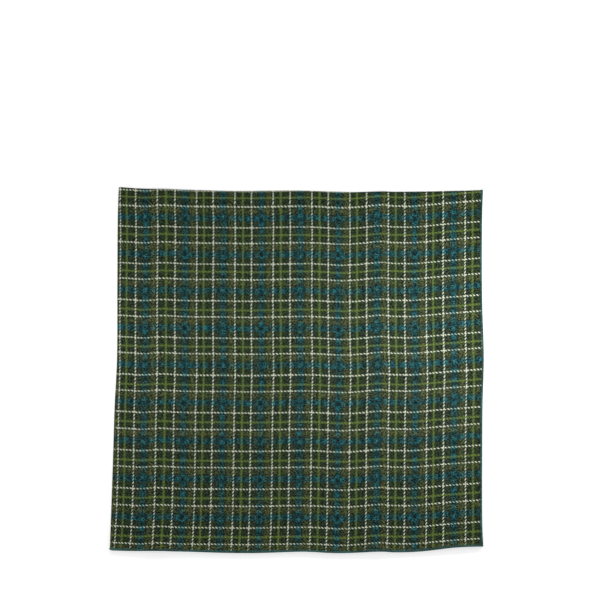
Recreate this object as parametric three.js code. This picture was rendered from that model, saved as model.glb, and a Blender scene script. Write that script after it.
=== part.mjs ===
// Folded square scarf: one square of light printed twill with a rolled hem all round, folded in half
// and in half again, lying flat. Millimetres, +Z up, origin under the middle of the folded cloth.
// The left and top edges are folds. The right and bottom edges are the open hems, four of them deep.
// The whole scarf is one closed sheet that runs back and forth through its four layers.

import * as THREE from 'three';

const cloth = {
  thickness: 1.0, // the sheet
  gap: 0.4, // air between two layers
  width: 449.5, // left fold to right hem, half of the open square
  depth: 454.5, // top fold to bottom hem
};

const hem = {
  width: 2.4, // rolled edge, as seen from above
  thickness: 1.5,
  edgeThickness: 0.8, // where its outside turns under
  gap: 0.35, // air between the hems of two layers
  fade: 28, // how far in the layers lie higher because of the hems
  stations: [0.8, 0.5, 0.14, 0], // places over the roll, as parts of its width from the cut edge
};

const steps = {
  upperAcross: 24, // from the right hem to the left fold, upper pair of layers
  lowerAcross: 10,
  down: 11, // from the bottom hem to the top fold
  leftFold: 6,
  topFold: 6,
};

// How far each edge lies outside the plain rectangle, at places along it.
const leftEdge = [
  { at: -229, out: 2.4 },
  { at: -170, out: 1.4 },
  { at: -110, out: 0.5 },
  { at: -50, out: -0.2 },
  { at: 10, out: -2.0 },
  { at: 110, out: -0.6 },
  { at: 190, out: 0.3 },
  { at: 229, out: -0.2 },
];

const rightEdge = [
  { at: -225, out: 0.0 },
  { at: -205, out: -0.9 },
  { at: -170, out: -1.2 },
  { at: -110, out: -0.7 },
  { at: -50, out: 0.0 },
  { at: 15, out: 1.8 },
  { at: 80, out: 0.2 },
  { at: 140, out: 0.0 },
  { at: 200, out: 0.7 },
  { at: 229, out: 2.0 },
];

const topEdge = [
  { at: -226, out: 3.2 },
  { at: -205, out: 1.8 },
  { at: -170, out: 0.8 },
  { at: -80, out: -0.7 },
  { at: 0, out: 0.3 },
  { at: 60, out: -1.1 },
  { at: 130, out: -0.2 },
  { at: 190, out: 1.0 },
  { at: 226, out: 2.1 },
];

const bottomEdge = [
  { at: -226, out: -1.2 },
  { at: -200, out: -0.6 },
  { at: -130, out: 0.5 },
  { at: -60, out: 1.3 },
  { at: 5, out: -0.7 },
  { at: 52, out: 0.6 },
  { at: 102, out: -1.8 },
  { at: 120, out: -1.2 },
  { at: 150, out: -2.6 },
  { at: 190, out: -7.0 },
  { at: 222, out: -8.6 },
];

// Old creases that run from hem to fold, as soft ridges of the top layer. from and to are where the
// rise starts and ends, across for the upright ones and along the depth for the level one.
const uprightRidges = [
  { from: -196, crest: -171, to: -148, height: 2.0 },
  { from: 66, crest: 101, to: 116, height: 3.0 },
  { from: 150, crest: 188, to: 224, height: 1.2 },
];

const levelRidges = [
  { from: -34, crest: -7, to: 16, height: 1.2 },
  { from: 120, crest: 168, to: 214, height: 0.6 },
];

// How far the hems of each layer lie inside those of the top one. Layers count from the top.
const layers = [
  { right: 0.0, bottom: 0.0 },
  { right: 1.3, bottom: 1.2 },
  { right: 0.7, bottom: 0.5 },
  { right: 1.6, bottom: 0.9 },
];

const hemSwing = { size: 0.5, length: 190 }; // the lower hems wander by this much, in soft waves

const spaces = layers.length - 1; // between the layers

function smooth(t) {
  const c = Math.min(1, Math.max(0, t));
  return c * c * (3 - 2 * c);
}

// Value of a table at a place, on a curve through its rows.
function fromTable(rows, place) {
  const last = rows.length - 1;
  const x = Math.min(rows[last].at, Math.max(rows[0].at, place));
  let i = 0;
  while (i < last - 1 && rows[i + 1].at < x) i += 1;
  const slope = (a, b) => (rows[b].out - rows[a].out) / (rows[b].at - rows[a].at);
  const span = rows[i + 1].at - rows[i].at;
  const t = (x - rows[i].at) / span;
  const slopeIn = slope(Math.max(0, i - 1), i + 1) * span;
  const slopeOut = slope(i, Math.min(last, i + 2)) * span;
  const t2 = t * t;
  const t3 = t2 * t;
  const ends = (2 * t3 - 3 * t2 + 1) * rows[i].out + (3 * t2 - 2 * t3) * rows[i + 1].out;
  return ends + (t3 - 2 * t2 + t) * slopeIn + (t3 - t2) * slopeOut;
}

function ridgeHeight(ridges, place) {
  const climb = (r) => (place - r.from) / (r.crest - r.from);
  const fall = (r) => (r.to - place) / (r.to - r.crest);
  return ridges.reduce((sum, r) => sum + r.height * smooth(Math.min(climb(r), fall(r))), 0);
}

// Thickness of the sheet at a distance from its cut edge: a roll that runs down to the plain cloth.
function sheetThickness(fromEdge) {
  if (fromEdge >= hem.width) return cloth.thickness;
  const middle = hem.width / 2;
  const round = Math.sqrt(Math.max(0, 1 - ((fromEdge - middle) / middle) ** 2));
  const low = fromEdge < middle ? hem.edgeThickness : cloth.thickness;
  return low + (hem.thickness - low) * round;
}

// Stations from a fold to a hem, as parts of that run: even steps, then close ones over the roll.
function runStations(count, length) {
  const plain = 1 - hem.width / length;
  const even = Array.from({ length: count + 1 }, (_, i) => (plain * i) / count);
  const roll = hem.stations.map((part) => 1 - (part * hem.width) / length);
  return [...even, ...roll];
}

// Stations along one direction of the cloth: from the hem of one side to the fold, round the fold,
// and out to the hem of the other side. turn goes from 0 to 1 round the fold.
function stations(before, fold, after, length) {
  const bend = Array.from({ length: fold - 1 }, (_, i) => ({ run: 0, turn: (i + 1) / fold }));
  return [
    ...runStations(before, length).reverse().map((run) => ({ run, turn: 0 })),
    ...bend,
    ...runStations(after, length).map((run) => ({ run, turn: 1 })),
  ];
}

// Hem inset of the layer at a place. upper is 1 in the upper pair and 0 in the lower one, and front
// is 1 in the outer cloth of each pair and 0 in the inner one.
function layerInset(side, upper, front, place) {
  const [top, second, third, bottom] = layers.map((layer) => layer[side]);
  const upperInset = THREE.MathUtils.lerp(second, top, front);
  const lowerInset = THREE.MathUtils.lerp(third, bottom, front);
  const inset = THREE.MathUtils.lerp(lowerInset, upperInset, upper);
  const hidden = 1 - upper * front;
  const start = 2 * upper + front; // so that no two layers wander together
  const wave = Math.sin((2 * Math.PI * place) / hemSwing.length + start);
  return inset + hidden * hemSwing.size * wave;
}

function fromCutEdge(across, down) {
  return Math.min((1 - across.run) * cloth.width, (1 - down.run) * cloth.depth);
}

// Point on the middle surface of the plain sheet. across.turn is 0 in the upper pair of layers and
// 1 in the lower pair, down.turn is 0 in the outer cloth of each pair and 1 in the inner one.
function middlePoint(across, down) {
  const x0 = (across.run - 0.5) * cloth.width;
  const y0 = (0.5 - down.run) * cloth.depth;
  const leftAngle = Math.PI * (0.5 - across.turn);
  const topAngle = Math.PI * down.turn;
  const upper = (1 + Math.sin(leftAngle)) / 2;
  const front = (1 + Math.cos(topAngle)) / 2;

  const nearHem = 1 - smooth((fromCutEdge(across, down) - hem.width) / hem.fade);
  const plainPitch = cloth.thickness + cloth.gap;
  const hemPitch = hem.thickness + hem.gap;
  const lift = ridgeHeight(uprightRidges, x0) + ridgeHeight(levelRidges, y0);
  const spacing = THREE.MathUtils.lerp(plainPitch, hemPitch, nearHem) + lift / spaces;

  // The pair of cloths turns about a line inside the left fold, halfway up the pile, and the outer
  // one rounds the inner one both there and along the top fold.
  const halfPile = (spacing * spaces) / 2;
  const radius = spacing * (1 + Math.cos(topAngle) / 2);
  const outerReach = halfPile + cloth.thickness / 2;
  const topReach = spacing / 2 + cloth.thickness / 2;
  const rightInset = layerInset('right', upper, front, y0);
  const bottomInset = layerInset('bottom', upper, front, x0);
  const leftOut = fromTable(leftEdge, y0) - outerReach;
  const topOut = fromTable(topEdge, x0) - topReach;
  const rightOut = fromTable(rightEdge, y0) - rightInset;
  const bottomOut = fromTable(bottomEdge, x0) - bottomInset;

  return new THREE.Vector3(
    x0 - (1 - across.run) * leftOut + across.run * rightOut - radius * Math.cos(leftAngle),
    y0 + (1 - down.run) * topOut - down.run * bottomOut + (spacing / 2) * Math.sin(topAngle),
    cloth.thickness / 2 + halfPile + radius * Math.sin(leftAngle),
  );
}

function gridGeometry(points, rows, columns) {
  const index = [];
  for (let r = 0; r < rows - 1; r += 1) {
    for (let c = 0; c < columns - 1; c += 1) {
      const a = r * columns + c;
      const b = a + columns;
      index.push(a, b, a + 1, b, b + 1, a + 1);
    }
  }
  const geometry = new THREE.BufferGeometry().setFromPoints(points);
  geometry.setIndex(index);
  return geometry;
}

// The sheet's two faces, either side of its middle surface, and the rim that closes its cut edge.
// The roll of a hem stands on the side that looks up, so the lowest layer stays flat underneath.
function sheetGeometry() {
  const across = stations(steps.upperAcross, steps.leftFold, steps.lowerAcross, cloth.width);
  const down = stations(steps.down, steps.topFold, steps.down, cloth.depth);
  const rows = down.length;
  const columns = across.length;
  const middle = gridGeometry(down.flatMap((d) => across.map((a) => middlePoint(a, d))), rows, columns);
  middle.computeVertexNormals();

  const front = [];
  const back = [];
  const normal = new THREE.Vector3();
  const point = new THREE.Vector3();
  down.forEach((d, r) => {
    across.forEach((a, c) => {
      const i = r * columns + c;
      point.fromBufferAttribute(middle.attributes.position, i);
      normal.fromBufferAttribute(middle.attributes.normal, i);
      const roll = sheetThickness(fromCutEdge(a, d)) - cloth.thickness;
      const frontPart = cloth.thickness / 2 + (roll * (1 + normal.z)) / 2;
      const backPart = cloth.thickness / 2 + (roll * (1 - normal.z)) / 2;
      front.push(point.clone().addScaledVector(normal, frontPart));
      back.push(point.clone().addScaledVector(normal, -backPart));
    });
  });

  const index = [];
  const half = front.length;
  const face = Array.from(middle.index.array);
  for (let i = 0; i < face.length; i += 3) {
    const [a, b, c] = [face[i], face[i + 1], face[i + 2]];
    index.push(a, b, c, a + half, c + half, b + half);
  }
  const rim = [
    ...Array.from({ length: columns }, (_, c) => c),
    ...Array.from({ length: rows - 1 }, (_, r) => (r + 2) * columns - 1),
    ...Array.from({ length: columns - 1 }, (_, c) => rows * columns - 2 - c),
    ...Array.from({ length: rows - 1 }, (_, r) => (rows - 2 - r) * columns),
  ];
  for (let i = 0; i < rim.length - 1; i += 1) {
    const [a, b] = [rim[i], rim[i + 1]];
    index.push(a, b, b + half, a, b + half, a + half);
  }
  const sheet = new THREE.BufferGeometry().setFromPoints([...front, ...back]);
  sheet.setIndex(index);
  return sheet;
}

// Sets the geometry on the table with the middle of its box over the origin.
function standOnOrigin(geometry) {
  geometry.computeBoundingBox();
  const { min, max } = geometry.boundingBox;
  return geometry.translate(-(min.x + max.x) / 2, -(min.y + max.y) / 2, -min.z);
}

const twill = new THREE.MeshStandardMaterial({ color: 0x3c4f43, roughness: 0.75, metalness: 0 });

const folded = new THREE.Mesh(standOnOrigin(sheetGeometry()), twill);
folded.name = 'scarf';

const scarf = new THREE.Group();
scarf.add(folded);

export default scarf;
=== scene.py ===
import math

import bpy
import numpy as np
from mathutils import Matrix, Vector


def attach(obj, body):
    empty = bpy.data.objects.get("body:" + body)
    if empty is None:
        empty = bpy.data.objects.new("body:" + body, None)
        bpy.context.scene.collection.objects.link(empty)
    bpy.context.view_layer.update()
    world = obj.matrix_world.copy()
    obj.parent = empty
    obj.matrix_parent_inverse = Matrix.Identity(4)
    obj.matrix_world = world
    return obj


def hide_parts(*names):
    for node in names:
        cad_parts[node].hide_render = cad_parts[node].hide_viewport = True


# Folded square scarf in printed silk twill, seen from above. The cloth is one sheet that runs through
# four layers, and a rolled hem is sewn along its four sides. Sizes are in millimetres, and turn to
# metres where a mesh, lamp or camera is made.

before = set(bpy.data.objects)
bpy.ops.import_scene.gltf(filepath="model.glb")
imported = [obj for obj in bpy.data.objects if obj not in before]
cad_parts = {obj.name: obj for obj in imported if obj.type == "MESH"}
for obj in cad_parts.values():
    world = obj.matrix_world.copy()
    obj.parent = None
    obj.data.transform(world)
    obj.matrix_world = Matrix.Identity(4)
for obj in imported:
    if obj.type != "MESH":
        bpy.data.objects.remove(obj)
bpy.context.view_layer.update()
mm = 0.001


def hexToLinear(text):
    channels = [int(text[i:i + 2], 16) / 255 for i in (1, 3, 5)]
    linear = [c / 12.92 if c <= 0.04045 else ((c + 0.055) / 1.055) ** 2.4 for c in channels]
    return (*linear, 1.0)


def addNode(tree, kind, settings, inputs):
    # inputs: a socket's name or number, with its value or the output that feeds it
    node = tree.nodes.new(kind)
    for name, value in settings.items():
        setattr(node, name, value)
    for key, value in inputs.items():
        if isinstance(value, bpy.types.NodeSocket):
            tree.links.new(value, node.inputs[key])
        else:
            node.inputs[key].default_value = value
    return node


def newMaterial(name):
    material = bpy.data.materials.new(name)
    material.use_nodes = True
    material.node_tree.nodes.clear()
    return material


def meshObject(name, points, faces, material):
    mesh = bpy.data.meshes.new(name)
    mesh.from_pydata((np.asarray(points) * mm).tolist(), [], faces)
    mesh.polygons.foreach_set("use_smooth", np.ones(len(mesh.polygons), bool))
    mesh.materials.append(material)
    mesh.update()
    made = bpy.data.objects.new(name, mesh)
    bpy.context.collection.objects.link(made)
    return made


# Shape of the fold. The sizes are the solid's own, but the cloth is nearly as thin as real twill, and its
# right and bottom edges lie up to 0.6 mm further out.

cloth = {
    "width": 449.5,  # left fold to right hem, half of the open square
    "depth": 454.5,  # top fold to bottom hem
    "pitch": 1.4,  # from one layer to the next
    "halfThickness": 0.1,
    "layers": 4,
    "columns": (150, 12, 50),  # of faces: upper layers, round the left fold, lower layers
    "rows": (152, 12, 50),  # the same for the front layers, the top fold and the back layers
    "centring": (0.3, -0.8, 0.0),  # brings the middle of the whole scarf over the origin
}

hem = {
    "width": 2.4,  # the roll, as seen from above
    "thickness": 1.5,
    "pitch": 1.85,  # from one roll to the next below it
    "fade": 28,  # how far in the layers lie higher because of the rolls
    "lift": 0.4,  # the lowest layer's edge is held this far off the surface
    "rise": 0.25,  # middle of the roll over the cloth that runs into it
    "sides": 10,
    "step": 1.625,  # along the hem, a quarter of a stitch
    "foldSteps": 12,
    "uneven": (0.03, 23, 9),  # share of the size, and the two lengths it comes and goes over
    "ends": (0.45, 0.9),  # size of the last two rings at each end
}

# How far each edge lies outside the plain rectangle: place along it, offset.
edges = {
    "left": [(-229, 2.4), (-170, 1.4), (-110, 0.5), (-50, -0.2), (10, -2.0), (110, -0.6), (190, 0.3),
             (229, -0.2)],
    "right": [(-225, 0.5), (-205, -0.4), (-170, -0.7), (-110, -0.2), (-50, 0.5), (15, 2.3), (80, 0.7),
              (140, 0.5), (200, 1.2), (229, 2.5)],
    "top": [(-226, 3.2), (-205, 1.8), (-170, 0.8), (-80, -0.7), (0, 0.3), (60, -1.1), (130, -0.2),
            (190, 1.0), (226, 2.1)],
    "bottom": [(-226, -0.9), (-200, 0.0), (-130, 0.7), (-60, 1.3), (5, -0.4), (52, 1.2),
               (102, -1.6), (120, -0.8), (150, -2.3), (190, -6.6), (222, -8.1)],
}

# Old creases of the top layer: start, crest, end, height.
creases = {
    "upright": [(-196, -171, -148, 2.0), (66, 101, 116, 3.0), (150, 188, 224, 1.2)],
    "level": [(-34, -7, 16, 1.2), (120, 168, 214, 0.6)],
}

# Soft waves of cloth that has been handled: length, direction in degrees, height, phase.
waves = [(118, 12, 0.22, 0.4), (83, 71, 0.16, 2.1), (57, 128, 0.10, 4.0), (41, 35, 0.06, 1.3)]
puckers = {"length": 19, "height": 0.16, "fade": 24}  # drawn in by the hem's stitches

# How far the hems lie inside those of the top layer, by layer from the top, and how they wander.
hemInset = {"right": (0.0, 1.3, 0.7, 1.6), "bottom": (0.0, 1.2, 0.5, 0.9), "swing": 0.5, "length": 190}

# The cloth lies a little askew, so the check's lines drift: place, drift. Listed from measured lines.
levelDrift = [(-224, 1.6), (-206, 0.75), (-191, -0.1), (-169, 1.0), (-132, 0.15), (-95, 0.2), (-58, 0.0),
              (12, 1.5), (53, -0.1), (75, 1.1), (101, 3.05), (112, 2.55), (126, 2.4), (141, 2.5),
              (174, 5.7), (222, 9.6)]
uprightDrift = {
    "left": [(-224, -1.7), (-200, -0.6), (-170, 0.3), (-123, 0.7), (-54, 0.4), (-7, 1.0), (39, 0.3),
             (87, -0.5), (133, -0.9), (180, -1.4), (207, -2.7)],
    "right": [(-224, -1.2), (-200, -0.6), (-123, -0.6), (-54, 0.3), (-7, 1.3), (39, 0.2), (87, -0.1),
              (133, 0.0), (207, 0.6)],
}

# The cloth is also drawn a little closer in some places than in others, about a row for each line of the
# check: place, shift. Listed from how far each line was measured to lie off.
columnShift = [(-229, -1.0), (-221, -1.0), (-211, 0.5), (-201, 0.5), (-174, 0.7), (-164, -0.9),
               (-152, -0.6), (-126, -0.4), (-117, 0.2), (-105, -0.3), (-79, -0.2), (-69, -0.8),
               (-58, -0.1), (-32, 0.1), (-10, -0.3), (16, -0.3), (26, -0.5), (37, 0.0), (63, 0.25),
               (73, 0.7), (85, 0.0), (111, 0.3), (158, 0.8), (167, 1.6), (179, 0.35), (206, 0.35)]
rowShift = [(-222, 1.1), (-213, 1.5), (-202, 1.1), (-174, 1.1), (-153, 0.5), (-125, 0.4), (-116, 1.3),
            (-104, 0.4), (-77, 0.3), (-67, 0.4), (-56, -0.3), (-29, -0.3), (-19, 1.4), (-8, 0.0),
            (19, -0.4), (39, 0.25), (66, 0.0), (75, 0.6), (86, 0.0), (113, -0.4), (122, -1.1),
            (132, 0.5), (159, 0.5), (168, -0.4), (179, 0.9), (205, 0.8), (215, -1.7), (226, 1.4)]


def smooth(t):
    c = np.clip(t, 0, 1)
    return c * c * (3 - 2 * c)


def mix(a, b, t):
    return a + (b - a) * t


def fromTable(rows, place):
    # a curve through the rows, level beyond its ends
    at, out = np.array(rows, float).T
    slope = np.empty(len(at))
    slope[1:-1] = (out[2:] - out[:-2]) / (at[2:] - at[:-2])
    slope[0] = (out[1] - out[0]) / (at[1] - at[0])
    slope[-1] = (out[-1] - out[-2]) / (at[-1] - at[-2])
    x = np.clip(place, at[0], at[-1])
    i = np.clip(np.searchsorted(at, x, side="right") - 1, 0, len(at) - 2)
    span = at[i + 1] - at[i]
    t = (x - at[i]) / span
    ends = (2 * t**3 - 3 * t**2 + 1) * out[i] + (3 * t**2 - 2 * t**3) * out[i + 1]
    return ends + ((t**3 - 2 * t**2 + t) * slope[i] + (t**3 - t**2) * slope[i + 1]) * span


def spread(shifts, place):
    return place + fromTable(shifts, place)


def creaseHeight(rows, place):
    total = 0
    for start, crest, end, height in rows:
        climb = (place - start) / (crest - start)
        fall = (end - place) / (end - crest)
        total = total + height * smooth(np.minimum(climb, fall))
    return total


def waveHeight(x, y):
    total = 0
    for length, direction, height, phase in waves:
        turn = math.radians(direction)
        along = x * math.cos(turn) + y * math.sin(turn)
        total = total + height * np.sin(2 * np.pi * along / length + phase)
    return total


def layerInset(side, upper, front, place):
    top, second, third, bottom = hemInset[side]
    inset = mix(mix(third, bottom, front), mix(second, top, front), upper)
    wander = np.sin(2 * np.pi * place / hemInset["length"] + 2 * upper + front)
    return inset + (1 - upper * front) * hemInset["swing"] * wander


def foldedPoint(across, acrossTurn, down, downTurn):
    # across runs from the left fold to the right hem and down from the top fold to the bottom hem,
    # both 0 to 1. A turn is 0 on the near side of its fold and 1 when the cloth has gone round it.
    x0 = (across - 0.5) * cloth["width"]
    y0 = (0.5 - down) * cloth["depth"]
    leftAngle = np.pi * (0.5 - acrossTurn)
    topAngle = np.pi * downTurn
    upper = (1 + np.sin(leftAngle)) / 2
    front = (1 + np.cos(topAngle)) / 2

    fromRight = (1 - across) * cloth["width"]
    fromBottom = (1 - down) * cloth["depth"]
    nearHem = 1 - smooth((np.minimum(fromRight, fromBottom) - hem["width"]) / hem["fade"])
    besideRight = smooth(1 - fromRight / puckers["fade"])
    besideBottom = smooth(1 - fromBottom / puckers["fade"])
    pucker = besideRight * np.sin(2 * np.pi * y0 / puckers["length"])
    pucker = pucker + besideBottom * np.sin(2 * np.pi * x0 / puckers["length"])
    lift = creaseHeight(creases["upright"], x0) + creaseHeight(creases["level"], y0)
    lift = lift + waveHeight(x0, y0) + puckers["height"] * pucker
    spaces = cloth["layers"] - 1
    spacing = mix(cloth["pitch"], hem["pitch"], nearHem) + lift / spaces

    halfPile = spacing * spaces / 2
    radius = spacing * (1 + np.cos(topAngle) / 2)
    leftOut = fromTable(edges["left"], y0) - halfPile - cloth["halfThickness"]
    topOut = fromTable(edges["top"], x0) - spacing / 2 - cloth["halfThickness"]
    rightOut = fromTable(edges["right"], y0) - layerInset("right", upper, front, y0)
    bottomOut = fromTable(edges["bottom"], x0) - layerInset("bottom", upper, front, x0)
    x = x0 - (1 - across) * leftOut + across * rightOut - radius * np.cos(leftAngle)
    y = y0 + (1 - down) * topOut - down * bottomOut + spacing / 2 * np.sin(topAngle)
    z = cloth["halfThickness"] + hem["lift"] * nearHem + halfPile + radius * np.sin(leftAngle)
    return np.stack(np.broadcast_arrays(x, y, z), -1), np.pi * radius, np.pi * spacing / 2


def stations(near, fold, far):
    # from the hem in to the fold, round it, and out to the other hem
    run = np.concatenate([np.linspace(1, 0, near + 1), np.zeros(fold - 1), np.linspace(0, 1, far + 1)])
    turn = np.concatenate([np.zeros(near + 1), np.arange(1, fold) / fold, np.ones(far + 1)])
    return run, turn


def gridFaces(rows, columns):
    a = (np.arange(rows - 1)[:, None] * columns + np.arange(columns - 1)).ravel()
    return np.stack([a, a + columns, a + columns + 1, a + 1], 1)


# The printed check. One sett, from a cream line to the same line of the next pair, runs both ways.

sett = {
    "repeat": (47.27, 47.07),  # across and up
    "firstLine": (4.2, 9.9),  # from the left fold and the bottom hem
    "teal": (28.9, 36.3),  # stripes: where they start and end
    "olive": (39.2, 45.1),
    "slate": (22.2, 28.0),
    "softness": 1.8,  # of a stripe's edge
    "secondLine": 20.4,
    "limeLine": 9.2,
    "creamWide": (0.6, 1.1),  # full to here from a line's middle, and gone here
    "limeWide": (0.6, 1.8),
    "tealWide": (0.1, 4.4),  # the same from the middle of a stripe
    "oliveWide": (0.1, 3.2),
    "twistPitch": (4.18, 4.14),  # of the strands, up an upright line and along a level one
    "twistSlant": (-1.05, 1.0),
    "beads": ((10.53, 341.7), (10.62, 358.0)),  # of teal stripes, across and up: pitch, a bead's middle
    "beadDepth": 0.65,
    "creamGap": (-0.45, 0.45),  # a strand shows where the cosine round its yarn is over this
    "limeGap": (-1.3, 0.3),
}

# The print imitates tweed. A scale is the number of features in a millimetre of flat cloth.
tweed = {
    "raggedScale": 0.5,
    "ragged": 0.7,  # how far the edges of stripes and lines stray
    "speckScale": 0.62,  # specks of warp and weft
    "specks": (0.62, 0.98),  # from all warp to all weft
    "fleckScale": (0.46, 0.75),  # along the slant of the flecks and across it
    "fleckSlant": -40,
    "flecks": (0.37, 0.63),  # from none of a stripe's colour to twice as much
    "mottleScale": 0.12,  # broad patches where one set of threads wins, or olive turns brown
    "mottle": 0.6,
    "brown": (0.45, 0.65),
    "eye": 0.55,  # darkness of the middle where two teal stripes cross
}

twillColours = {
    "ground": "#202b1c",
    "slate": "#283227",
    "teal": "#0c434b",
    "olive": "#373f27",
    "brown": "#404427",
    "lime": "#586930",
    "limeOnTeal": "#436752",
    "cream": "#bcc1ac",
    "creamOnTeal": "#7a9e98",
    "creamOnOlive": "#959a7f",
}


def setStops(ramp, length, stops):
    while len(ramp.elements) > 1:
        ramp.elements.remove(ramp.elements[0])
    for i, (at, value) in enumerate(stops):
        stop = ramp.elements[0] if i == 0 else ramp.elements.new(at / length)
        stop.position = at / length
        stop.color = value


def stripeStops(repeat, names, colour):
    half = sett["softness"] / 2
    stops = [(0, colour["ground"])]
    for name in names:
        first, last = sett[name]
        stops += [(first - half, colour["ground"]), (first + half, colour[name]),
                  (last - half, colour[name]), (last + half, colour["ground"])]
    return stops + [(repeat, colour["ground"])]


def markStops(repeat):
    # nearness to a cream line in red, a lime line in green, the middle of the teal stripe in blue and
    # that of the olive one in alpha
    none = (0, 0, 0, 0)
    cream, lime, teal, olive = (1, 0, 0, 0), (0, 1, 0, 0), (0, 0, 1, 0), (0, 0, 0, 1)
    core, reach = sett["creamWide"]
    stops = [(0, cream), (core, cream), (reach, none)]
    for middle, (full, gone), mark in (
            (sett["limeLine"], sett["limeWide"], lime),
            (sett["secondLine"], sett["creamWide"], cream),
            (sum(sett["teal"]) / 2, sett["tealWide"], teal),
            (sum(sett["olive"]) / 2, sett["oliveWide"], olive)):
        stops += [(middle - gone, none), (middle - full, mark)]
        stops += [(middle + full, mark), (middle + gone, none)]
    return stops + [(repeat - reach, none), (repeat - core, cream)]


def printedSilkTwill():
    # Silk twill, close woven and screen printed: the dye sinks into the thread, so the colours are
    # flat, with a faint diagonal rib and little gloss seen from above. The print copies a tweed:
    # stripes are half warp and half weft, edges are ragged, and the lines look like twisted yarn.
    material = newMaterial("printedSilkTwill")
    tree = material.node_tree
    colour = {name: hexToLinear(text) for name, text in twillColours.items()}
    flat = addNode(tree, "ShaderNodeUVMap", {"uv_map": "flatCloth"}, {})
    place = addNode(tree, "ShaderNodeVectorMath", {"operation": "SCALE"},
                    {0: flat.outputs[0], "Scale": 1 / mm}).outputs[0]

    # settings that several nodes share
    noise = {"noise_dimensions": "2D"}
    blend = {"data_type": "RGBA"}
    eased = {"interpolation_type": "SMOOTHSTEP"}
    times, plus, most, wave = (
        {"operation": name} for name in ("MULTIPLY", "MULTIPLY_ADD", "MAXIMUM", "COSINE"))

    # Noise over the flat cloth: ragged edges, specks of warp and weft, tweed flecks and broad mottling
    leaning = addNode(tree, "ShaderNodeMapping", {}, {
        "Vector": place, "Rotation": (0, 0, math.radians(tweed["fleckSlant"])),
        "Scale": (*tweed["fleckScale"], 1)})
    ragged = addNode(tree, "ShaderNodeTexNoise", noise,
                     {"Vector": place, "Scale": tweed["raggedScale"], "Detail": 1.0})
    specks = addNode(tree, "ShaderNodeTexNoise", noise,
                     {"Vector": place, "Scale": tweed["speckScale"], "Detail": 1.0, "Roughness": 0.6})
    flecks = addNode(tree, "ShaderNodeTexNoise", noise,
                     {"Vector": leaning.outputs[0], "Scale": 1.0, "Detail": 1.0, "Roughness": 0.6})
    mottle = addNode(tree, "ShaderNodeTexNoise", noise,
                     {"Vector": place, "Scale": tweed["mottleScale"], "Detail": 1.0, "Roughness": 0.5})

    centred = addNode(tree, "ShaderNodeVectorMath", {"operation": "SUBTRACT"},
                      {0: ragged.outputs[1], 1: (0.5, 0.5, 0.5)})
    worn = addNode(tree, "ShaderNodeVectorMath", plus,
                   {0: centred.outputs[0], 1: (tweed["ragged"], tweed["ragged"], 0.0), 2: place})
    along = addNode(tree, "ShaderNodeSeparateXYZ", {}, {0: worn.outputs[0]})
    even = addNode(tree, "ShaderNodeSeparateXYZ", {}, {0: place})

    stripes, marks, oliveMarks, strands = [], [], [], []
    for axis, names in ((0, ("slate", "teal", "olive")), (1, ("teal", "olive"))):
        repeat = sett["repeat"][axis]
        turns = addNode(tree, "ShaderNodeMath", plus,
                        {0: along.outputs[axis], 1: 1 / repeat, 2: -sett["firstLine"][axis] / repeat})
        phase = addNode(tree, "ShaderNodeMath", {"operation": "FRACT"}, {0: turns.outputs[0]})
        stripe = addNode(tree, "ShaderNodeValToRGB", {}, {0: phase.outputs[0]})
        setStops(stripe.color_ramp, repeat, stripeStops(repeat, names, colour))
        stripes.append(stripe.outputs[0])
        mark = addNode(tree, "ShaderNodeValToRGB", {}, {0: phase.outputs[0]})
        setStops(mark.color_ramp, repeat, markStops(repeat))
        marks.append(addNode(tree, "ShaderNodeSeparateColor", {}, {0: mark.outputs[0]}).outputs)
        oliveMarks.append(mark.outputs[1])

        # the strands of a twisted yarn slant across its line
        tilted = addNode(tree, "ShaderNodeMath", plus,
                         {0: even.outputs[axis], 1: sett["twistSlant"][axis], 2: even.outputs[1 - axis]})
        angle = addNode(tree, "ShaderNodeMath", times,
                        {0: tilted.outputs[0], 1: 2 * math.pi / sett["twistPitch"][axis]})
        strands.append(addNode(tree, "ShaderNodeMath", wave, {0: angle.outputs[0]}).outputs[0])

    # Warp and weft show about half each, as specks of the two stripes, and here and there one wins
    share = addNode(tree, "ShaderNodeMath", plus,
                    {0: mottle.outputs[0], 1: tweed["mottle"], 2: specks.outputs[0]})
    warpShown = addNode(tree, "ShaderNodeMapRange", {}, {
        "Value": share.outputs[0], "From Min": tweed["specks"][0], "From Max": tweed["specks"][1]})
    ground = addNode(tree, "ShaderNodeMix", blend, {0: warpShown.outputs[0], 6: stripes[0], 7: stripes[1]})

    # Where two teal stripes cross, the middle is dark
    bothTeal = addNode(tree, "ShaderNodeMath", times, {0: marks[0][2], 1: marks[1][2]})
    eye = addNode(tree, "ShaderNodeMapRange", eased, {
        "Value": bothTeal.outputs[0], "From Min": 0.0, "From Max": 0.6, "To Max": tweed["eye"]})
    eyed = addNode(tree, "ShaderNodeMix", blend,
                   {0: eye.outputs[0], 6: ground.outputs[2], 7: colour["ground"]})

    # Teal stripes are rows of soft beads
    beaded = eyed.outputs[2]
    for axis in (0, 1):
        pitch, middle = sett["beads"][1 - axis]
        angle = addNode(tree, "ShaderNodeMath", plus, {
            0: even.outputs[1 - axis], 1: 2 * math.pi / pitch, 2: -2 * math.pi * middle / pitch})
        swell = addNode(tree, "ShaderNodeMath", wave, {0: angle.outputs[0]})
        bead = addNode(tree, "ShaderNodeMath", times, {0: swell.outputs[0], 1: marks[axis][2]})
        light = addNode(tree, "ShaderNodeMath", plus, {0: bead.outputs[0], 1: sett["beadDepth"], 2: 1.0})
        beaded = addNode(tree, "ShaderNodeVectorMath", {"operation": "SCALE"},
                         {0: beaded, "Scale": light.outputs[0]}).outputs[0]

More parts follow.
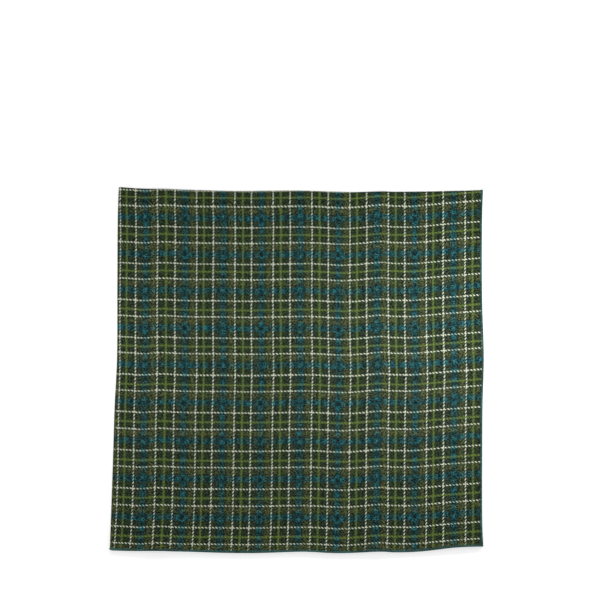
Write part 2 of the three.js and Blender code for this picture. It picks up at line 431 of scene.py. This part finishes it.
    # Olive turns brown in patches, but not under teal
    anyTeal = addNode(tree, "ShaderNodeMath", most, {0: marks[0][2], 1: marks[1][2]})
    anyOlive = addNode(tree, "ShaderNodeMath", most, {0: oliveMarks[0], 1: oliveMarks[1]})
    patches = addNode(tree, "ShaderNodeMapRange", {}, {
        "Value": mottle.outputs[0], "From Min": tweed["brown"][0], "From Max": tweed["brown"][1]})
    bare = addNode(tree, "ShaderNodeMapRange", {},
                   {"Value": anyTeal.outputs[0], "From Max": 0.4, "To Min": 1.0, "To Max": 0.0})
    brownest = addNode(tree, "ShaderNodeMath", times, {0: patches.outputs[0], 1: bare.outputs[0]})
    browned = addNode(tree, "ShaderNodeMath", times, {0: anyOlive.outputs[0], 1: brownest.outputs[0]})
    bands = addNode(tree, "ShaderNodeMix", blend, {0: browned.outputs[0], 6: beaded, 7: colour["brown"]})

    # The yarns take on some of the stripe they cross
    onTeal = addNode(tree, "ShaderNodeMapRange", eased,
                     {"Value": anyTeal.outputs[0], "From Min": 0.05, "From Max": 0.45})
    onOlive = addNode(tree, "ShaderNodeMapRange", eased,
                      {"Value": anyOlive.outputs[0], "From Min": 0.05, "From Max": 0.5})
    depth = addNode(tree, "ShaderNodeMapRange", {}, {
        "Value": flecks.outputs[0], "From Min": tweed["flecks"][0], "From Max": tweed["flecks"][1],
        "To Min": 0.0, "To Max": 2.0})
    inked = addNode(tree, "ShaderNodeVectorMath", {"operation": "SCALE"},
                    {0: bands.outputs[2], "Scale": depth.outputs[0]}).outputs[0]
    for name, channel in (("lime", 1), ("cream", 0)):
        gapEnd, strandStart = sett[name + "Gap"]
        lines = []
        for axis in (0, 1):
            strand = addNode(tree, "ShaderNodeMapRange", eased,
                             {"Value": strands[axis], "From Min": gapEnd, "From Max": strandStart})
            lines.append(addNode(tree, "ShaderNodeMath", times,
                                 {0: strand.outputs[0], 1: marks[axis][channel]}).outputs[0])
        crossing = addNode(tree, "ShaderNodeMath", times, {0: marks[0][channel], 1: marks[1][channel]})
        line = addNode(tree, "ShaderNodeMath", most, {0: lines[0], 1: lines[1]})
        either = addNode(tree, "ShaderNodeMath", most, {0: line.outputs[0], 1: crossing.outputs[0]})
        ink = addNode(tree, "ShaderNodeMix", blend,
                      {0: onTeal.outputs[0], 6: colour[name], 7: colour[name + "OnTeal"]})
        if name == "cream":
            ink = addNode(tree, "ShaderNodeMix", blend,
                          {0: onOlive.outputs[0], 6: ink.outputs[2], 7: colour["creamOnOlive"]})
        inked = addNode(tree, "ShaderNodeMix", blend,
                        {0: either.outputs[0], 6: inked, 7: ink.outputs[2]}).outputs[2]

    # The rib of the twill is 0.4 mm apart and is drawn four times as coarse, so that it shows
    rib = addNode(tree, "ShaderNodeTexWave", {"wave_type": "BANDS", "bands_direction": "DIAGONAL"}, {
        "Vector": place, "Scale": 0.2, "Distortion": 1.5, "Detail": 2.0, "Detail Scale": 1.0})
    bump = addNode(tree, "ShaderNodeBump", {},
                   {"Height": rib.outputs[1], "Strength": 0.2, "Distance": 0.1 * mm})
    surface = addNode(tree, "ShaderNodeBsdfPrincipled", {}, {
        "Base Color": inked, "Normal": bump.outputs[0],
        "Roughness": 0.6, "IOR": 1.5, "Specular IOR Level": 0.06,
        "Sheen Weight": 0.02, "Sheen Roughness": 0.4,
    })
    addNode(tree, "ShaderNodeOutputMaterial", {}, {"Surface": surface.outputs[0]})
    return material


def makeSheet(material):
    across, acrossTurn = stations(*cloth["columns"])
    down, downTurn = (a[:, None] for a in stations(*cloth["rows"]))
    points, roundLeft, roundTop = foldedPoint(across, acrossTurn, down, downTurn)

    # Where each point lies on the flat cloth: the top layer's place, mirrored at each fold
    top, _, _ = foldedPoint(across, 0, down, 0)
    nearFold, _, _ = foldedPoint(0 * across, 0, down, 0)
    nearTop, _, _ = foldedPoint(across, 0, 0 * down, 0)
    x, y = top[..., 0], top[..., 1]
    foldX, foldY = nearFold[..., 0], nearFold[..., 1]
    topX, topY = nearTop[..., 0], nearTop[..., 1]
    drift = mix(fromTable(uprightDrift["left"], y), fromTable(uprightDrift["right"], y), across)
    u = spread(columnShift, x - drift) + cloth["width"] / 2
    uFold = spread(columnShift, foldX - fromTable(uprightDrift["left"], foldY)) + cloth["width"] / 2
    v = spread(rowShift, y - fromTable(levelDrift, x)) + cloth["depth"] / 2
    vFold = spread(rowShift, topY - fromTable(levelDrift, topX)) + cloth["depth"] / 2
    u = uFold + (u - uFold) * np.cos(np.pi * acrossTurn) - roundLeft * acrossTurn
    v = vFold + (v - vFold) * np.cos(np.pi * downTurn) + roundTop * downTurn

    rows, columns = points.shape[:2]
    faces = gridFaces(rows, columns)
    sheet = meshObject("printedSheet", points.reshape(-1, 3), faces.tolist(), material)
    flat = sheet.data.uv_layers.new(name="flatCloth")
    corners = np.stack([u, v], -1).reshape(-1, 2)[faces.ravel()] * mm
    flat.data.foreach_set("uv", corners.ravel())
    return sheet


# Rolled hem: the edge rolled over by hand and slip stitched, in the print's teal border.

# The roll's dark and teal are partly its dye and partly painted shade and painted highlight; the thread
# colour is its own.
hemColours = {"teal": "#2f5a57", "dark": "#142b27", "thread": "#2b5a58"}

stitch = {
    "every": 4,  # steps of the hem
    "thickness": 0.3,
    "from": 100,  # degrees round the roll, 0 being straight out of the cloth
    "to": 215,
    "slant": 1.0,
    "girth": (0.4, 0.9, 1, 1, 0.9, 0.4),  # from one end to the other
    "sides": 5,
    "nip": 0.11,  # share of the roll's size that a stitch draws in
    "nipReach": 1.1,
}


def rolledTwill():
    # The same twill, rolled with the wrong side in: teal border print, creased across by the stitches.
    # Its noise is 2 mm fine, for the creases, and 22 mm broad. Both noises mix a darker and a lighter teal
    # into the colour: partly uneven dye, partly painted light, with lighter teal as painted highlight
    # where the roll catches the light and darker specks as painted shade in its creases.
    material = newMaterial("rolledTwill")
    tree = material.node_tree
    place = addNode(tree, "ShaderNodeTexCoord", {}, {}).outputs["Object"]
    fine = addNode(tree, "ShaderNodeTexNoise", {}, {"Vector": place, "Scale": 500.0, "Detail": 3.0})
    broad = addNode(tree, "ShaderNodeTexNoise", {}, {"Vector": place, "Scale": 45.0, "Detail": 2.0})
    both = addNode(tree, "ShaderNodeMath", {"operation": "ADD"}, {0: fine.outputs[0], 1: broad.outputs[0]})
    amount = addNode(tree, "ShaderNodeMapRange", {},
                     {"Value": both.outputs[0], "From Min": 0.8, "From Max": 1.2})
    # painted highlight and painted shade: the noise mixes the darker and lighter teal of the roll, partly
    # uneven dye
    tint = addNode(tree, "ShaderNodeMix", {"data_type": "RGBA"}, {
        0: amount.outputs[0], 6: hexToLinear(hemColours["dark"]), 7: hexToLinear(hemColours["teal"])})
    bump = addNode(tree, "ShaderNodeBump", {},
                   {"Height": fine.outputs[0], "Strength": 0.3, "Distance": 0.2 * mm})
    surface = addNode(tree, "ShaderNodeBsdfPrincipled", {}, {
        "Base Color": tint.outputs[2], "Normal": bump.outputs[0],
        "Roughness": 0.55, "IOR": 1.5, "Specular IOR Level": 0.15,
        "Sheen Weight": 0.03, "Sheen Roughness": 0.4,
    })
    addNode(tree, "ShaderNodeOutputMaterial", {}, {"Surface": surface.outputs[0]})
    return material


def silkThread():
    # Twisted silk sewing thread: fine strands, 0.35 mm from one to the next, with a soft lustre
    material = newMaterial("silkThread")
    tree = material.node_tree
    place = addNode(tree, "ShaderNodeTexCoord", {}, {}).outputs["Object"]
    strands = addNode(tree, "ShaderNodeTexWave", {"bands_direction": "DIAGONAL"},
                      {"Vector": place, "Scale": 900.0, "Distortion": 1.0})
    tint = addNode(tree, "ShaderNodeMix", {"data_type": "RGBA"}, {
        0: strands.outputs[1], 6: hexToLinear(hemColours["teal"]), 7: hexToLinear(hemColours["thread"])})
    bump = addNode(tree, "ShaderNodeBump", {},
                   {"Height": strands.outputs[1], "Strength": 0.4, "Distance": 0.1 * mm})
    surface = addNode(tree, "ShaderNodeBsdfPrincipled", {}, {
        "Base Color": tint.outputs[2], "Normal": bump.outputs[0],
        "Roughness": 0.45, "IOR": 1.5, "Specular IOR Level": 0.3, "Sheen Weight": 0.05,
    })
    addNode(tree, "ShaderNodeOutputMaterial", {}, {"Surface": surface.outputs[0]})
    return material


def unit(vectors):
    return vectors / np.linalg.norm(vectors, axis=-1, keepdims=True)


def hemPath(side, turn):
    # middle of one roll, hem end to hem end, with the directions out of the cloth and off its face
    length = cloth["depth"] if side == "right" else cloth["width"]
    count = round(length / hem["step"])
    run, foldTurn = stations(count, hem["foldSteps"], count)
    inner = 1 - hem["width"] / (cloth["width"] if side == "right" else cloth["depth"])

    def row(at):
        if side == "right":
            return foldedPoint(np.full(run.shape, at), turn, run, foldTurn)[0]
        return foldedPoint(run, foldTurn, np.full(run.shape, at), turn)[0]

    edge, inside = row(1.0), row(inner)
    centre = (edge + inside) / 2 + [0, 0, hem["rise"]]
    outward = unit(edge - inside)
    along = unit(np.gradient(centre, axis=0))
    face = unit(np.cross(along, outward) * (1 if side == "bottom" else -1))
    distance = np.concatenate([[0], np.cumsum(np.linalg.norm(np.diff(centre, axis=0), axis=1))])
    return centre, outward, face, along, distance


def tubeFaces(tubes, rings, sides):
    tube = np.arange(tubes)[:, None, None] * rings * sides
    ring = np.arange(rings - 1)[None, :, None] * sides
    a = tube + ring + np.arange(sides)
    b = tube + ring + (np.arange(sides) + 1) % sides
    quads = np.stack([a, b, b + sides, a + sides], -1).reshape(-1, 4).tolist()
    firstRings = [t * rings * sides for t in range(tubes)]
    lastRings = [first + (rings - 1) * sides for first in firstRings]
    start = [list(range(first, first + sides))[::-1] for first in firstRings]
    end = [list(range(first, first + sides)) for first in lastRings]
    return quads + start + end


def makeRoll(centre, outward, face, distance):
    around = 2 * np.pi * np.arange(hem["sides"]) / hem["sides"]
    pitch = hem["step"] * stitch["every"]
    fromStitch = np.abs((distance + pitch / 2) % pitch - pitch / 2)
    amount, longer, shorter = hem["uneven"]
    fullness = 1 - stitch["nip"] * np.exp(-(fromStitch / stitch["nipReach"]) ** 2)
    fullness = fullness + amount * np.sin(distance / longer) * np.sin(distance / shorter)
    fullness[[0, -1]], fullness[[1, -2]] = hem["ends"]
    wide = hem["width"] / 2 * fullness
    high = hem["thickness"] / 2 * fullness
    return (centre[:, None] + outward[:, None] * (wide[:, None] * np.cos(around))[..., None]
            + face[:, None] * (high[:, None] * np.sin(around))[..., None])


def makeStitches(centre, outward, face, along):
    # one short thread over the inner side of the roll for each stitch
    at = np.arange(stitch["every"], len(centre) - stitch["every"], stitch["every"])
    rings = len(stitch["girth"])
    angle = np.radians(np.linspace(stitch["from"], stitch["to"], rings))
    lean = along[at][:, None] * (np.linspace(-0.5, 0.5, rings) * stitch["slant"])[None, :, None]
    reach = 1 - stitch["nip"]
    middle = (centre[at][:, None]
              + outward[at][:, None] * (np.cos(angle) * hem["width"] / 2 * reach)[None, :, None]
              + face[at][:, None] * (np.sin(angle) * hem["thickness"] / 2 * reach)[None, :, None]
              + lean)
    away = unit(middle - centre[at][:, None] - lean)
    ahead = unit(np.gradient(middle, axis=1))
    beside = unit(np.cross(ahead, away))
    corner = 2 * np.pi * np.arange(stitch["sides"]) / stitch["sides"]
    girth = stitch["thickness"] / 2 * np.array(stitch["girth"])
    return (middle[:, :, None]
            + away[:, :, None] * (girth[:, None] * np.cos(corner))[None, ..., None]
            + beside[:, :, None] * (girth[:, None] * np.sin(corner))[None, ..., None])


def makeHems(rollMaterial, threadMaterial):
    rollPoints, rollFaces, threadPoints, threadFaces = [], [], [], []
    for side, turn in (("right", 0), ("right", 1), ("bottom", 0), ("bottom", 1)):
        centre, outward, face, along, distance = hemPath(side, turn)
        roll = makeRoll(centre, outward, face, distance)[None]
        thread = makeStitches(centre, outward, face, along)
        for shape, points, faces in ((roll, rollPoints, rollFaces), (thread, threadPoints, threadFaces)):
            first = sum(len(p) for p in points)
            faces += [[i + first for i in f] for f in tubeFaces(*shape.shape[:3])]
            points.append(shape.reshape(-1, 3))
    rolls = meshObject("rolledHem", np.concatenate(rollPoints), rollFaces, rollMaterial)
    threads = meshObject("hemStitches", np.concatenate(threadPoints), threadFaces, threadMaterial)
    return rolls, threads


# Camera, floor and lamps

view = {
    "aim": (1.6, 86.2, 6.0),  # in the middle of the picture
    "distance": 4700,
    "tilt": 14,  # degrees off straight down, from the side of the bottom hems
    "roll": 0.4,
    "across": 738,  # what the picture takes in at the aim
    "sensor": 36,
    "clipEnd": 100,  # metres
}

studio = {
    "sky": 0.78,
    "softboxes": [
        {"at": (285, 65, 280), "across": 500, "deep": 100, "power": 1.18},
        {"at": (-260, 35, 230), "across": 120, "deep": 160, "power": 0.21},
    ],
    "floor": "#c4c4c4",
    "floorHalf": 4000,
    "glow": 0.56,
}


def makeCamera():
    camera = bpy.data.objects.new("camera", bpy.data.cameras.new("camera"))
    bpy.context.collection.objects.link(camera)
    camera.data.sensor_width = view["sensor"]
    camera.data.lens = view["sensor"] * view["distance"] / view["across"]
    camera.data.clip_end = view["clipEnd"]
    tilt = Matrix.Rotation(math.radians(view["tilt"]), 4, "X")
    roll = Matrix.Rotation(math.radians(view["roll"]), 4, "Z")
    back = Matrix.Translation((0, 0, view["distance"] * mm))
    camera.matrix_world = Matrix.Translation(Vector(view["aim"]) * mm) @ tilt @ back @ roll
    bpy.context.scene.camera = camera


def makeStudio():
    # Frosted acrylic lit from below, as for a product picture: shadows pale out into pure white
    material = newMaterial("backlitAcrylic")
    tree = material.node_tree
    surface = addNode(tree, "ShaderNodeBsdfPrincipled", {}, {
        "Base Color": hexToLinear(studio["floor"]),
        "Roughness": 0.8, "IOR": 1.49, "Specular IOR Level": 0.1,
        "Emission Color": (1, 1, 1, 1), "Emission Strength": studio["glow"],
    })
    addNode(tree, "ShaderNodeOutputMaterial", {}, {"Surface": surface.outputs[0]})
    half = studio["floorHalf"]
    corners = [(-half, -half, 0), (half, -half, 0), (half, half, 0), (-half, half, 0)]
    floor = meshObject("floor", corners, [(0, 1, 2, 3)], material)

    sky = bpy.data.worlds.new("softSky")
    sky.use_nodes = True
    background = sky.node_tree.nodes["Background"]
    background.inputs["Color"].default_value = (1, 1, 1, 1)
    background.inputs["Strength"].default_value = studio["sky"]
    bpy.context.scene.world = sky

    for softbox in studio["softboxes"]:
        lamp = bpy.data.objects.new("softbox", bpy.data.lights.new("softbox", "AREA"))
        bpy.context.collection.objects.link(lamp)
        lamp.location = Vector(softbox["at"]) * mm
        lamp.data.shape = "RECTANGLE"
        lamp.data.size = softbox["across"] * mm
        lamp.data.size_y = softbox["deep"] * mm
        lamp.data.energy = softbox["power"]
        lamp.visible_camera = False
    bpy.context.scene.view_settings.view_transform = "Standard"


makeCamera()
makeStudio()
print("camera, floor and lamps made")

twill = printedSilkTwill()
sheet = makeSheet(twill)
print("sheet made:", len(sheet.data.polygons), "faces")

rolls, threads = makeHems(rolledTwill(), silkThread())
print("hems made:", len(rolls.data.polygons), "faces, stitches", len(threads.data.polygons), "faces")

for piece in (sheet, rolls, threads):
    piece.data.transform(Matrix.Translation(Vector(cloth["centring"]) * mm))
    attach(piece, "root")
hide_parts("scarf")
